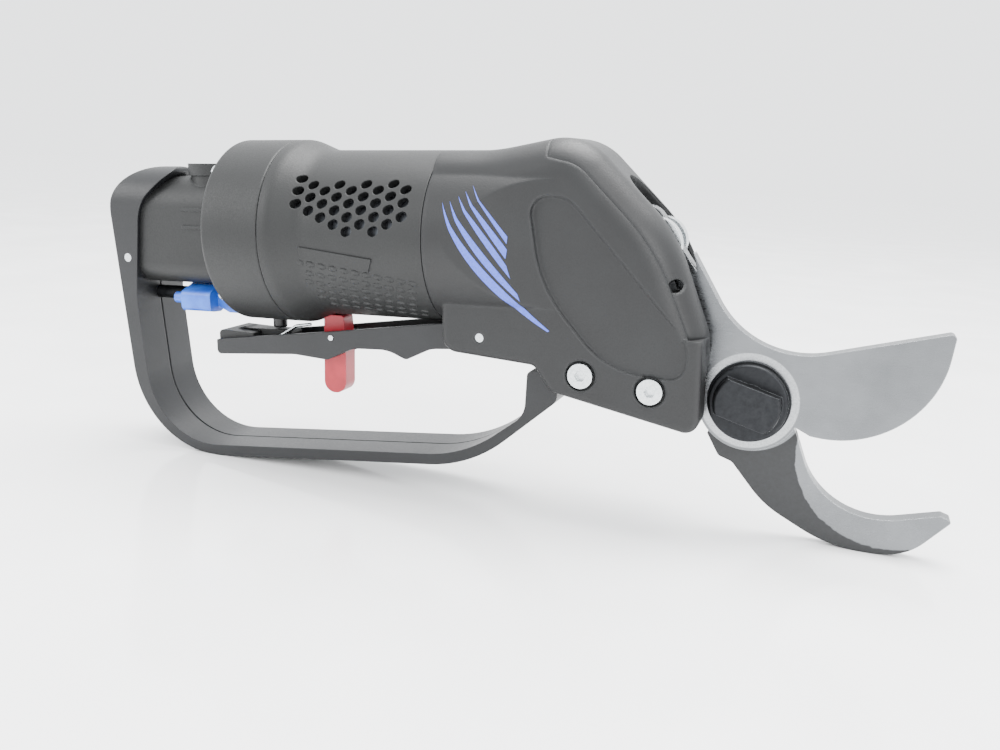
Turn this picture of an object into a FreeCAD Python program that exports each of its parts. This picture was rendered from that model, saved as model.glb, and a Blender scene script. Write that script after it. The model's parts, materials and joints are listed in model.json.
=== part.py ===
import FreeCAD, Part
import Sketcher
import math
import os
import re
from FreeCAD import Placement, Rotation, Vector

# Compressed-air pruning shear. Tool frame while modelling: X runs forward along the cylinder axis,
# Z up, Y to the left, origin on the axis where the rear cap meets the grip sleeve. At the end every
# piece gets one rest placement that stands the tool on its guard and its counter blade.

doc = FreeCAD.newDocument("air_pruner")
sheet = doc.addObject("Spreadsheet::Sheet", "Sizes")

SIZES = {
    # gaps between pieces
    "fit_gap": 0.1, "running_gap": 0.05, "clear_gap": 0.3,
    # grip and cylinder
    "cap_radius": 30.0, "cap_length": 21.0, "cap_wall": 3.0, "cap_opening": 21.0,
    "sleeve_radius": 26.7, "sleeve_length": 54.0, "neck_flat": 3.5, "neck_end": 12.0,
    "liner_radius": 24.0, "liner_wall": 3.0, "liner_setback": 2.0,
    "flange_thick": 3.0, "spigot_length": 3.5, "seal_width": 1.6, "seal_depth": 1.5,
    "hole_long": 3.7, "hole_wide": 2.9, "hole_pitch": 4.5, "hole_slant": 25.0, "hole_row_turn": 9.2,
    "hole_drop_turn": 4.3, "panel_start": 11.5, "panel_end": 51.5, "panel_top_turn": 41.0,
    "panel_rear_turn": 14.0, "panel_fall": 0.5, "panel_low_turn": 2.0, "panel_bend": 40.0, "panel_climb": 1.2,
    # piston, rod and fork
    "piston_length": 13.0, "piston_start": -11.2, "stroke": 42.7, "rod_radius": 6.0,
    "rod_nut_radius": 9.0, "rod_nut_length": 3.6, "bush_wall": 2.5, "gland_length": 16.0,
    "gland_disc": 8.0, "gland_boss": 12.5, "fork_half_width": 6.6, "fork_half_height": 8.0,
    "fork_back": 25.0, "fork_throat": 17.0, "fork_pin_radius": 3.0,
    # blades and pivot
    "pivot_x": 147.6, "pivot_z": -44.7, "blade_thick": 5.0, "hub_radius": 15.0, "counter_hub": 14.4,
    "bush_radius": 7.5, "bolt_radius": 6.0, "bolt_head_radius": 9.5, "bolt_head_thick": 3.5,
    "nut_flange_radius": 11.4, "nut_flange_thick": 3.0, "nut_boss_radius": 9.6, "nut_boss_thick": 3.6,
    "nut_flat_half": 5.6, "washer_radius": 12.0, "washer_thick": 1.0,
    "tail_lean": 33.0, "tail_length": 66.0, "tail_rear": 7.6, "tail_front": 6.0, "tail_slot_half": 4.1,
    "tail_slot_low": 40.9, "tail_slot_high": 57.2, "tail_slot_shift": -0.75,
    # head
    "head_half": 19.0, "head_round": 11.0, "head_edge": 1.6, "slot_half": 7.5, "cavity_half": 14.0,
    "recess_depth": 0.9, "screw_radius": 2.0, "screw_head_radius": 3.7, "screw_head_thick": 2.2,
    "screw_well_radius": 4.5, "screw_well_depth": 1.6, "screw_hex_radius": 1.7, "screw_hex_depth": 1.7,
    "clamp_rear_x": 101.0, "clamp_rear_z": -37.6, "clamp_front_x": 121.5, "clamp_front_z": -40.6,
    "clamp_nut_radius": 4.0, "clamp_nut_thick": 3.2, "cheek_hole_x": 127.0, "cheek_hole_z": -10.5,
    "cheek_hole_radius": 1.9,
    # trigger and catch
    "trigger_half": 9.5, "trigger_wall": 1.8, "trigger_floor": 2.2, "trigger_x": 69.4,
    "trigger_z": -28.5, "trigger_pin_radius": 1.4, "catch_x": 13.2, "catch_z": -33.8,
    "catch_pin_radius": 0.9, "catch_half": 3.2,
    # guard, valve block and valve
    "guard_half": 12.5, "guard_top": 21.2, "guard_groove_wide": 0.8, "block_half": 11.0, "block_top": 18.0,
    "block_bottom": -18.6, "block_end": -66.4, "inlet_radius": 5.7, "inlet_depth": 12.0,
    "inlet_window": 8.5, "guard_screw_x": -64.8, "guard_screw_z": -10.0, "guard_screw_radius": 1.0,
    "guard_screw_head": 1.5, "guard_screw_depth": 1.0, "guard_screw_length": 5.5,
    "exhaust_x": -35.5, "exhaust_radius": 8.8, "exhaust_base": 18.2, "exhaust_thick": 4.0,
    "spool_bore": 4.5, "spool_z": 9.5, "spool_bore_end": -50.0, "spool_start": -42.0,
    "spool_length": 18.0, "spring_turns": 5, "spring_wire": 0.4,
    "cap_screw_ring": 27.0, "cap_screw_radius": 1.5, "cap_screw_length": 23.0,
    "cap_screw_head": 2.6, "cap_screw_head_thick": 2.0,
    # selector and valve plunger
    "guide_z": -23.0, "guide_radius": 2.3, "guide_end": -63.5, "selector_x": -47.0,
    "selector_length": 14.0, "selector_hub": 4.0,
    "plunger_x": -12.0, "plunger_radius": 2.4, "plunger_low": -33.2, "plunger_length": 6.0,
}
for row, (alias, size) in enumerate(SIZES.items(), start=1):
    sheet.set(f"A{row}", alias)
    sheet.set(f"B{row}", str(size))
    sheet.setAlias(f"B{row}", alias)
doc.recompute()


def product(words):
    """Value of one product or quotient such as 2*liner_radius or cap_length/2."""
    result = 1.0
    for word in words.replace("/", "*/").split("*"):
        name = word.lstrip("/")
        number = SIZES[name] if name in SIZES else float(name)
        result = result / number if word.startswith("/") else result * number
    return result


def terms(formula):
    """Signed terms of a sum of products of sheet names and numbers."""
    sign = 1
    for word in str(formula).split():
        if word in ("+", "-"):
            sign = 1 if word == "+" else -1
            continue
        bare = word.lstrip("-")
        yield (sign if bare == word else -sign), bare
        sign = 1


def value(formula):
    """Value of a sum of products of sheet names and numbers."""
    return sum(sign * product(word) for sign, word in terms(formula))


def negated(formula):
    """The same sum with every sign turned."""
    return " ".join(("- " if sign > 0 else "+ ") + word for sign, word in terms(formula))


def bound(formula):
    """The same sum written for a cell expression of the sheet."""
    scoped = re.sub(r"[A-Za-z_]+", lambda found: "Sizes." + found.group(0), str(formula))
    return scoped if scoped[0] != "+" else scoped[2:]


PARTS = {}
BORE = "liner_radius - liner_wall"
FRONT = "sleeve_length - liner_setback"


def keep(label, piece):
    """File a finished sub-part under its node name."""
    piece.Label = label
    PARTS[label] = piece
    return piece


def new_body(label):
    return doc.addObject("PartDesign::Body", label)


def sketch_on(body, role, lift="0", spin="0"):
    """Sketch on one of the body's own origin planes, lifted along its normal and spun in it."""
    sketch = body.newObject("Sketcher::SketchObject", body.Name + "_outline")
    plane = [item for item in body.Origin.OriginFeatures if item.Role == role][0]
    sketch.AttachmentSupport = [(plane, "")]
    sketch.MapMode = "FlatFace"
    turn = Rotation(Vector(0, 0, 1), value(spin))
    sketch.AttachmentOffset = Placement(Vector(0, 0, value(lift)), turn)
    if re.search("[a-z]", str(lift)):
        sketch.setExpression("AttachmentOffset.Base.z", bound(lift))
    return sketch


def draw(sketch, corners):
    """Closed outline: straight sides, and a tangent arc at each corner that has a radius."""
    count = len(corners)
    points = [Vector(value(c[0]), value(c[1]), 0) for c in corners]
    radii = [value(c[2]) if len(c) > 2 else 0.0 for c in corners]
    ways = [(points[(i + 1) % count] - points[i]).normalize() for i in range(count)]
    before = []
    after = []
    arcs = {}
    for i in range(count):
        come, leave = ways[i - 1], ways[i]
        cross = come.x * leave.y - come.y * leave.x
        turn = math.atan2(abs(cross), come.dot(leave))
        reach = radii[i] * math.tan(turn / 2)
        before.append(points[i] - come * reach)
        after.append(points[i] + leave * reach)
        if radii[i]:
            side = 1.0 if cross > 0 else -1.0
            normal = Vector(-come.y * side, come.x * side, 0)
            centre = before[i] + normal * radii[i]
            start, end = (before[i], after[i]) if side > 0 else (after[i], before[i])
            low = math.atan2(start.y - centre.y, start.x - centre.x)
            high = math.atan2(end.y - centre.y, end.x - centre.x)
            if high < low:
                high += 2 * math.pi
            circle = Part.Circle(centre, Vector(0, 0, 1), radii[i])
            arcs[i] = (Part.ArcOfCircle(circle, low, high), side)
    sketch.addGeometry([Part.LineSegment(after[i], before[(i + 1) % count]) for i in range(count)])
    rules = []
    ties = []

    def tie(kind, geometry, position, index, axis, number):
        ties.append((len(rules), corners[index][axis]))
        if kind == "Radius":
            rules.append(Sketcher.Constraint("Radius", geometry, number))
        else:
            rules.append(Sketcher.Constraint(kind, -1, 1, geometry, position, number))

    for i in range(count):
        last = (i - 1) % count
        if i not in arcs:
            rules.append(Sketcher.Constraint("Coincident", last, 2, i, 1))
            tie("DistanceX", i, 1, i, 0, points[i].x)
            tie("DistanceY", i, 1, i, 1, points[i].y)
            continue
        arc, side = arcs[i]
        index = sketch.addGeometry(arc)
        first, second = (1, 2) if side > 0 else (2, 1)
        rules.append(Sketcher.Constraint("Tangent", last, 2, index, first))
        rules.append(Sketcher.Constraint("Tangent", index, second, i, 1))
        tie("Radius", index, 0, i, 2, radii[i])
        corner = sketch.addGeometry(Part.Point(points[i]), True)
        tie("DistanceX", corner, 1, i, 0, points[i].x)
        tie("DistanceY", corner, 1, i, 1, points[i].y)
        rules.append(Sketcher.Constraint("PointOnObject", corner, 1, last))
        rules.append(Sketcher.Constraint("PointOnObject", corner, 1, i))
    sketch.addConstraint(rules)
    for index, formula in ties:
        if re.search("[a-z]", str(formula)):
            sketch.setExpression(f"Constraints[{index}]", bound(formula))
    return sketch


def pad(body, sketch, length):
    """Pad along the sketch's normal."""
    feature = body.newObject("PartDesign::Pad", body.Name + "_pad")
    feature.Profile = sketch
    feature.Length = value(length)
    feature.setExpression("Length", bound(length))
    sketch.Visibility = False
    return feature


def side_plate(name, corners, far, thick, spin="0"):
    """Body with an outline in side view, from y = far back towards the right by its thickness."""
    body = new_body(name)
    pad(body, draw(sketch_on(body, "XZ_Plane", negated(far), spin), corners), thick)
    return body


def side_disc(name, x, z, radius, far, thick):
    """Cylinder along Y from y = far back towards the right."""
    disc = doc.addObject("Part::Cylinder", name)
    disc.Radius = value(radius)
    disc.Height = value(thick)
    disc.setExpression("Radius", bound(radius))
    disc.setExpression("Height", bound(thick))
    disc.Placement = Placement(Vector(value(x), value(far), value(z)), Rotation(Vector(1, 0, 0), 90))
    return disc


def bar(name, axis_point, direction, radius, length):
    """Cylinder from a point along a direction."""
    rod = doc.addObject("Part::Cylinder", name)
    rod.Radius = value(radius)
    rod.Height = value(length)
    rod.setExpression("Radius", bound(radius))
    rod.setExpression("Height", bound(length))
    start = Vector(*[value(c) for c in axis_point])
    rod.Placement = Placement(start, Rotation(Vector(0, 0, 1), direction))
    return rod


def block(name, low, size):
    """Box from its low corner."""
    box = doc.addObject("Part::Box", name)
    for key, formula in zip(("Length", "Width", "Height"), size):
        setattr(box, key, value(formula))
        box.setExpression(key, bound(formula))
    box.Placement = Placement(Vector(*[value(c) for c in low]), Rotation())
    return box


def turned(name, corners):
    """Body turned about the cylinder axis X from an outline of (x, radius) corners."""
    body = new_body(name)
    sketch = draw(sketch_on(body, "XZ_Plane"), corners)
    spin = body.newObject("PartDesign::Revolution", name + "_turn")
    spin.Profile = sketch
    spin.ReferenceAxis = (sketch, ["H_Axis"])
    spin.Angle = 360.0
    sketch.Visibility = False
    return body


def ring(name, start, length, inner, outer):
    """Plain tube about the cylinder axis."""
    end = f"{start} + {length}"
    return turned(name, [(start, inner), (end, inner), (end, outer), (start, outer)])


def across(piece, x, z, y="0"):
    """Stand a piece turned about X across the tool instead: its axis along Y through (x, z)."""
    piece.Placement = Placement(Vector(value(x), value(y), value(z)), Rotation(Vector(0, 0, 1), 90))
    return piece


def fuse(name, pieces):
    union = doc.addObject("Part::MultiFuse", name)
    union.Shapes = pieces
    return union


def group(name, pieces):
    """Several equal solids that share one node."""
    bundle = doc.addObject("Part::Compound", name)
    bundle.Links = pieces
    return bundle


def common(name, first, second):
    shared = doc.addObject("Part::Common", name)
    shared.Base = first
    shared.Tool = second
    return shared


def cut(name, base, tools):
    """Base less its tools."""
    removal = tools[0] if len(tools) == 1 else fuse(name + "_tools", tools)
    result = doc.addObject("Part::Cut", name)
    result.Base = base
    result.Tool = removal
    return result


# ---------------------------------------------------------------- cylinder, grip and cap
def cap_screw_stations():
    """The four cap screws stand at 45 degrees to the tool's planes."""
    for quarter in range(4):
        turn = math.radians(45 + 90 * quarter)
        yield quarter, math.cos(turn) * value("cap_screw_ring"), math.sin(turn) * value("cap_screw_ring")


def rear_cap():
    blank = turned("rear_cap_blank", [
        ("-cap_length", "cap_opening"), ("-cap_length", "cap_radius", 1.6), (0, "cap_radius", 0.5),
        (0, "liner_radius + fit_gap"), ("-cap_length + cap_wall", "liner_radius + fit_gap"),
        ("-cap_length + cap_wall", "cap_opening")])
    tools = [bar("cap_guide_hole", ("-cap_length - 1", 0, "guide_z"), Vector(1, 0, 0),
                 "guide_radius + fit_gap", "cap_wall + 1.4"),
             bar("cap_plunger_hole", ("plunger_x", 0, "-cap_radius - 1"), Vector(0, 0, 1),
                 "plunger_radius + fit_gap", 9)]
    for quarter, y, z in cap_screw_stations():
        tools.append(bar(f"cap_screw_hole_{quarter}", ("-cap_length - 1", y, z), Vector(1, 0, 0),
                         "cap_screw_radius", "cap_length + 2"))
        tools.append(bar(f"cap_screw_seat_{quarter}", ("-cap_length - 1", y, z), Vector(1, 0, 0),
                         "cap_screw_head + fit_gap", "cap_screw_head_thick + 1"))
    keep("rear_cap", cut("rear_cap_cut", blank, tools))


def cap_screws():
    screws = []
    for quarter, y, z in cap_screw_stations():
        shank = bar(f"cap_screw_shank_{quarter}", ("-cap_length", y, z), Vector(1, 0, 0),
                    "cap_screw_radius", "cap_screw_length")
        head = bar(f"cap_screw_head_{quarter}", ("-cap_length", y, z), Vector(1, 0, 0),
                   "cap_screw_head", "cap_screw_head_thick")
        screws.append(fuse(f"cap_screw_{quarter}", [shank, head]))
    keep("cap_screws", group("cap_screw_group", screws))


def vent_hole(x, turn):
    """Solid of one oval vent hole, square to the sleeve at its turn about the axis."""
    half = value("hole_long") / 2 - value("hole_wide") / 2
    inner = value("liner_radius") + value("fit_gap") - 1.0
    depth = value("sleeve_radius") - inner + 2.0
    solid = Part.makeBox(2 * half, depth, value("hole_wide"), Vector(-half, inner, -value("hole_wide") / 2))
    for end in (-half, half):
        tube = Part.makeCylinder(value("hole_wide") / 2, depth, Vector(end, inner, 0), Vector(0, 1, 0))
        solid = solid.fuse(tube)
    solid = solid.removeSplitter()
    slanted = Rotation(Vector(0, 1, 0), value("hole_slant"))
    solid.Placement = Placement(Vector(x, 0, 0), Rotation(Vector(1, 0, 0), turn) * slanted)
    return solid


def lowest_vent(x):
    """Lower edge of a vent panel, as a turn above the horizontal: it falls forward, then climbs."""
    falling = value("panel_rear_turn") - (x - value("panel_start")) * value("panel_fall")
    climbing = value("panel_low_turn") + (x - value("panel_bend")) * value("panel_climb")
    return max(falling, climbing)


def vent_holes():
    """Both vent panels: a slanting lattice of oval holes, kept to the panel's outline."""
    holes = []
    for column in range(10):
        for row in range(-6, 10):
            x = value("panel_start") + column * value("hole_pitch")
            rise = value("panel_top_turn") - row * value("hole_row_turn") - column * value("hole_drop_turn")
            if lowest_vent(x) <= rise <= value("panel_top_turn") and x < value("panel_end"):
                holes += [vent_hole(x, rise), vent_hole(x, 180 - rise)]
    tool = doc.addObject("Part::Feature", "vent_holes")
    tool.Shape = Part.makeCompound(holes)
    return tool


def grip_sleeve():
    blank = turned("grip_sleeve_blank", [
        (0, "liner_radius + fit_gap"), (0, "cap_radius", 0.5), ("neck_flat", "cap_radius", 7),
        ("neck_end", "sleeve_radius", 12), ("sleeve_length", "sleeve_radius"),
        ("sleeve_length", "liner_radius + fit_gap")])
    notch = block("catch_notch", ("catch_x - 9.3", "-catch_half - 0.4", "-cap_radius - 1"),
                  (13.0, "2*catch_half + 0.8", "cap_radius + 1 - liner_radius - 0.8"))
    tools = [vent_holes(), notch]
    for quarter, y, z in cap_screw_stations():
        tools.append(bar(f"sleeve_screw_hole_{quarter}", (-1, y, z), Vector(1, 0, 0),
                         "cap_screw_radius", "cap_screw_length - cap_length + 1"))
    keep("grip_sleeve", cut("grip_sleeve_cut", blank, tools))


def cylinder_pieces():
    liner_start = "-cap_length + cap_wall + flange_thick"
    liner_length = f"{FRONT} + cap_length - cap_wall - flange_thick"
    keep("cylinder_liner", ring("liner", liner_start, liner_length, BORE, "liner_radius"))
    rear_seal_start = f"{liner_start} + spigot_length/2 - seal_width/2"
    keep("liner_rear_seal", ring("rear_seal", rear_seal_start, "seal_width",
                                 f"{BORE} - seal_depth", BORE))
    front_seal_start = f"{FRONT} - spigot_length/2 - seal_width/2"
    keep("liner_front_seal", ring("front_seal", front_seal_start, "seal_width",
                                  f"{BORE} - seal_depth", BORE))
    bore = "rod_radius + bush_wall"
    seal_end = f"{FRONT} - spigot_length + seal_width"
    keep("front_cover", turned("front_cover_body", [
        (seal_end, bore), (f"{FRONT} + gland_length", bore),
        (f"{FRONT} + gland_length", "gland_boss", 1), (f"{FRONT} + gland_disc", "gland_boss", 1),
        (f"{FRONT} + gland_disc", "liner_radius"), (FRONT, "liner_radius"),
        (FRONT, f"{BORE} - fit_gap"),
        (f"{FRONT} - spigot_length/2 + seal_width/2", f"{BORE} - fit_gap"),
        (f"{FRONT} - spigot_length/2 + seal_width/2", f"{BORE} - seal_depth"),
        (front_seal_start, f"{BORE} - seal_depth"), (front_seal_start, f"{BORE} - fit_gap"),
        (f"{FRONT} - spigot_length", f"{BORE} - fit_gap"),
        (f"{FRONT} - spigot_length", bore)]))
    keep("rod_seal", ring("rod_seal_body", f"{FRONT} - spigot_length", "seal_width",
                          "rod_radius + running_gap", bore))
    keep("rod_bush", ring("rod_bush_body", seal_end, "gland_length + spigot_length - seal_width",
                          "rod_radius + running_gap", bore))


# ---------------------------------------------------------------- piston group, at its rear end
def piston_group():
    seal_start = "piston_start + piston_length/2 - seal_width"
    seal_end = "piston_start + piston_length/2 + seal_width"
    outer = f"{BORE} - running_gap"
    keep("piston", turned("piston_body", [
        ("piston_start", "rod_radius"), ("piston_start", outer, 0.6), (seal_start, outer),
        (seal_start, f"{BORE} - 2*seal_depth"), (seal_end, f"{BORE} - 2*seal_depth"),
        (seal_end, outer), ("piston_start + piston_length", outer, 0.6),
        ("piston_start + piston_length", "rod_radius")]))
    keep("piston_seal", ring("piston_seal_body", seal_start, "2*seal_width",
                             f"{BORE} - 2*seal_depth", f"{BORE} - running_gap/2"))
    fork_start = f"{FORK_PIN_X} - fork_back"
    keep("piston_rod", bar("piston_rod_body", ("piston_start", 0, 0), Vector(1, 0, 0),
                           "rod_radius", f"{fork_start} - piston_start"))
    nut = turned("rod_nut_body", [
        ("piston_start + piston_length", "rod_radius"), ("piston_start + piston_length", "rod_nut_radius"),
        ("piston_start + piston_length + rod_nut_length", "rod_nut_radius", 0.8),
        ("piston_start + piston_length + rod_nut_length", "rod_radius")])
    keep("rod_nut", nut)


FORK_PIN_X = "pivot_x - 29.03"   # the fork pin lies on the cylinder axis and in the leaning tail


def rod_fork():
    height = "fork_half_height"
    body = side_plate("rod_fork_blank", [
        (f"{FORK_PIN_X} - fork_back", f"-{height}", 2), (f"{FORK_PIN_X} + {height}", f"-{height}", 7.9),
        (f"{FORK_PIN_X} + {height}", height, 7.9), (f"{FORK_PIN_X} - fork_back", height, 2)],
        "fork_half_width", "2*fork_half_width")
    throat = block("rod_fork_throat", (f"{FORK_PIN_X} - fork_throat", "-blade_thick/2 - clear_gap", "-12"),
                   ("fork_throat + 12", "blade_thick + 2*clear_gap", 24))
    hole = side_disc("rod_fork_hole", FORK_PIN_X, "0", "fork_pin_radius", "fork_half_width + 1",
                     "2*fork_half_width + 2")
    keep("rod_fork", cut("rod_fork_cut", body, [throat, hole]))
    keep("fork_pin", side_disc("fork_pin_body", FORK_PIN_X, "0", "fork_pin_radius", "fork_half_width",
                               "2*fork_half_width"))


# ---------------------------------------------------------------- blades, in the pivot's own place
def cutting_blade():
    half = "blade_thick/2"
    hub = side_disc("blade_hub", 0, 0, "hub_radius", half, "blade_thick")
    plate = side_plate("blade_plate", [
        (-18, 42.5), (0.6, 10.2, 28), (53.4, 23.3, 1.2), (48.6, -13.6, 29.3), (17.6, -8.9, 1.0),
        (12.0, -6.0), (-8, -2)], half, "blade_thick")
    tail = side_plate("blade_tail", [
        (-13, 3), ("-tail_rear", 36, 30), ("-tail_rear", "tail_length", 6.7),
        ("tail_front", "tail_length", 6.7), ("tail_front", 44, 60), (6.8, 24), (8, 3)],
        half, "blade_thick", "tail_lean")
    slot = side_plate("blade_slot", [
        ("tail_slot_shift - tail_slot_half", "tail_slot_low", 3),
        ("tail_slot_shift + tail_slot_half", "tail_slot_low", 3),
        ("tail_slot_shift + tail_slot_half", "tail_slot_high", 3),
        ("tail_slot_shift - tail_slot_half", "tail_slot_high", 3)],
        "blade_thick", "2*blade_thick", "tail_lean")
    bore = side_disc("blade_bore", 0, 0, "bush_radius + running_gap", "blade_thick", "2*blade_thick")
    blade = cut("cutting_blade_cut", fuse("cutting_blade_blank", [hub, plate, tail]), [slot, bore])
    blade.Placement = Placement(Vector(value("pivot_x"), 0, value("pivot_z")), Rotation())
    keep("cutting_blade", blade)


COUNTER_FAR = "1.5*blade_thick + fit_gap"


def counter_blade():
    hub = side_disc("counter_hub_disc", 0, 0, "counter_hub", COUNTER_FAR, "blade_thick")
    hook = side_plate("counter_hook", [
        (-8, -2), (-12.2, -12.2), (-8.6, -18.9, 2), (-4.4, -20.5, 3), (5.5, -32.8, 30),
        (27, -44.6, 40), (46.5, -43.4, 16), (57.8, -31.4, 0.8), (54.6, -30.2, 0.8), (23.2, -37.6, 23),
        (13.8, -10.7), (11, -4)], COUNTER_FAR, "blade_thick")
    tang = side_plate("counter_tang", [
        (-2, 8), ("clamp_front_x - pivot_x", 12.0, 20), ("clamp_rear_x - pivot_x - 7", 13.5, 5),
        ("clamp_rear_x - pivot_x - 7", 0.5, 5), ("clamp_front_x - pivot_x", "-1.5"), (-4, -13)],
        COUNTER_FAR, "blade_thick")
    tools = [side_disc("counter_bore", 0, 0, "bolt_radius", "2*blade_thick", "2*blade_thick")]
    for place in ("rear", "front"):
        tools.append(side_disc(f"counter_hole_{place}", f"clamp_{place}_x - pivot_x",
                               f"clamp_{place}_z - pivot_z", "screw_radius", "2*blade_thick",
                               "2*blade_thick"))
    blade = cut("counter_blade_cut", fuse("counter_blade_blank", [hub, hook, tang]), tools)
    blade.Placement = Placement(Vector(value("pivot_x"), 0, value("pivot_z")), Rotation())
    keep("counter_blade", blade)


def pivot_pieces():
    near = "-blade_thick/2 - fit_gap"
    nut_back = f"{near} - washer_thick"
    nut_front = f"{nut_back} - nut_flange_thick - nut_boss_thick"
    keep("pivot_washer", across(ring("washer_body", nut_back, "washer_thick", "bolt_radius",
                                     "washer_radius"), "pivot_x", "pivot_z"))
    keep("pivot_bush", across(ring("bush_body", near, "blade_thick + 2*fit_gap", "bolt_radius",
                                   "bush_radius"), "pivot_x", "pivot_z"))
    bolt = turned("pivot_bolt_body", [
        (f"{nut_back} - nut_flange_thick", 0), (f"{nut_back} - nut_flange_thick", "bolt_radius"),
        (COUNTER_FAR, "bolt_radius"), (COUNTER_FAR, "bolt_head_radius"),
        (f"{COUNTER_FAR} + bolt_head_thick", "bolt_head_radius", 1.2),
        (f"{COUNTER_FAR} + bolt_head_thick", 0)])
    keep("pivot_bolt", across(bolt, "pivot_x", "pivot_z"))
    blank = turned("pivot_nut_blank", [
        (nut_back, "bolt_radius"), (f"{nut_back} - nut_flange_thick", "bolt_radius"),
        (f"{nut_back} - nut_flange_thick", 0), (nut_front, 0), (nut_front, "nut_boss_radius", 1.0),
        (f"{nut_back} - nut_flange_thick", "nut_boss_radius", 0.5),
        (f"{nut_back} - nut_flange_thick", "nut_flange_radius", 0.8), (nut_back, "nut_flange_radius")])
    flats = [block(f"nut_flat_{side}", (f"{nut_front} - 1", low, -15), ("nut_boss_thick + 1", 10, 30))
             for side, low in (("up", "nut_flat_half"), ("down", "-nut_flat_half - 10"))]
    nut = cut("pivot_nut_cut", blank, flats)
    turn = Rotation(Vector(0, 0, 1), 90) * Rotation(Vector(1, 0, 0), -72)
    nut.Placement = Placement(Vector(value("pivot_x"), 0, value("pivot_z")), turn)
    keep("pivot_nut", nut)


# ---------------------------------------------------------------- head shells and nose
def round_edges(body, radius, wanted):
    """Fillet the side faces' edges whose middles are wanted."""
    base = body.Tip
    doc.recompute()
    chosen = []
    for index, edge in enumerate(base.Shape.Edges, start=1):
        middle = edge.valueAt((edge.FirstParameter + edge.LastParameter) / 2)
        if abs(abs(middle.y) - value("head_half")) < 0.01 and edge.BoundBox.YLength < 0.01 and wanted(middle):
            chosen.append(f"Edge{index}")
    rounding = body.newObject("PartDesign::Fillet", body.Name + "_rounding")
    rounding.Base = (base, chosen)
    rounding.Radius = value(radius)
    rounding.setExpression("Radius", bound(radius))


def head_solid():
    """Whole outer form of the head, before it is parted into shells and nose."""
    crown = side_plate("head_crown", [
        ("sleeve_length + 0.3", "sleeve_radius - 0.2"), ("sleeve_length + 17", "sleeve_radius - 0.2", 60),
        (98.0, 31.6, 18), (125.7, 3.4, 45), (137.0, -27.0, 16), (131, -48), ("sleeve_length + 8", -18),
        ("sleeve_length + 0.3", -18)],
        "head_half", "2*head_half")
    round_edges(crown, "head_round", lambda middle: middle.z > 24 or middle.x > 105)
    lower = side_plate("head_lower", [
        ("sleeve_length + 3", -16), ("sleeve_length + 3", -33.2, 5), (86.5, -35.8, 3), (91.5, -43.3, 3),
        (135.6, -53.0, 4), (135.6, -25.4), (126, -25.4), (120, -16)], "head_half", "2*head_half")
    round_edges(lower, "head_edge", lambda middle: middle.z < -27 or middle.x > 132)
    waist = new_body("head_waist")
    pad(waist, draw(sketch_on(waist, "XY_Plane", "-1*sleeve_radius - 1"), [
        ("sleeve_length + 0.3", f"-{WIDE}"), ("sleeve_length + 8", f"-{WIDE}", 30),
        ("sleeve_length + 30", "-head_half", 60), (104, "-head_half"),
        (104, "head_half"), ("sleeve_length + 30", "head_half", 60),
        ("sleeve_length + 8", WIDE, 30), ("sleeve_length + 0.3", WIDE)]),
        "2*sleeve_radius + 2")
    barrel = bar("head_barrel", ("sleeve_length + 0.3", 0, 0), Vector(1, 0, 0), "sleeve_radius", 40)
    return fuse("head_form", [crown, lower, common("head_waist_form", waist, barrel)])


WIDE = "27.0"
NOSE_LINE = [(88, 45), (89.6, 24.6), (98.6, 22.6, 12), (121.4, -0.6, 60), (131.4, -25.4),
             (150, -25.4), (150, 45)]
RECESS_LINE = [(84.5, 13.5, 5), (96, 13.8, 9), (131.8, -26.5, 10), (131.0, -37.2, 5),
               (108.5, -35.6, 26), (88.5, -12.5, 40)]


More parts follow.
